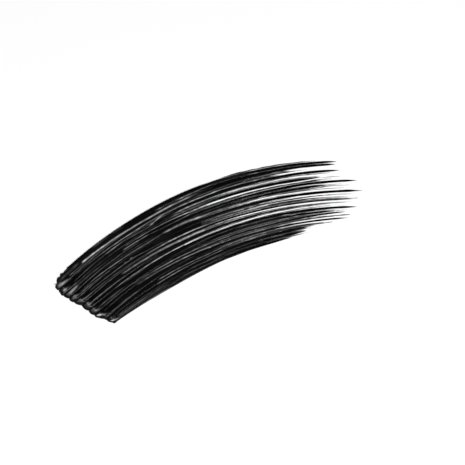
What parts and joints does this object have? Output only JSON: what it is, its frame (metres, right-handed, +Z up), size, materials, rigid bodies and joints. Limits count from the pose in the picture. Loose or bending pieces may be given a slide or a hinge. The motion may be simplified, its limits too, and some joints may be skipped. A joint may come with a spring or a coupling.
{
  "type": "mascara smear",
  "caption": "Curved brushed smear of glossy black mascara paste, thick and lobed where it was pressed down, thinning into separate hair-like streaks at its far end.",
  "frame": {"origin": "middle of the stroke, halfway along and halfway across, on the surface it lies on", "axes": "+X along the stroke's overall length towards the tails, +Y towards the outside of its bend at the tails, +Z up out of the surface"},
  "size_m": [0.0801, 0.0425, 0.001],
  "materials": {
    "paste": "wet glossy black paste with brushed grooves",
    "thin_paste": "thin black paste, slightly duller"
  },
  "bodies": {
    "root": {"lane_01": "paste", "lane_02": "paste", "lane_03": "paste", "lane_04": "paste", "lane_05": "paste", "lane_06": "paste", "lane_07": "paste", "lane_08": "paste", "lane_09": "paste", "lane_10": "paste", "lane_11": "paste", "lane_12": "paste", "lane_13": "paste", "lane_14": "paste", "lane_15": "paste", "ridge_01": "paste", "ridge_02": "paste", "ridge_03": "paste", "ridge_04": "paste", "ridge_05": "paste", "ridge_06": "paste", "ridge_07": "paste", "ridge_08": "paste", "ridge_09": "paste", "ridge_10": "paste", "ridge_11": "paste", "ridge_12": "paste", "ridge_13": "paste", "ridge_14": "paste", "ridge_15": "paste", "ridge_16": "paste", "hair_01": "thin_paste", "hair_02": "thin_paste", "hair_03": "thin_paste", "hair_04": "thin_paste", "hair_05": "thin_paste", "hair_06": "thin_paste", "hair_07": "thin_paste", "hair_08": "thin_paste", "hair_09": "thin_paste"}
  },
  "joints": []
}
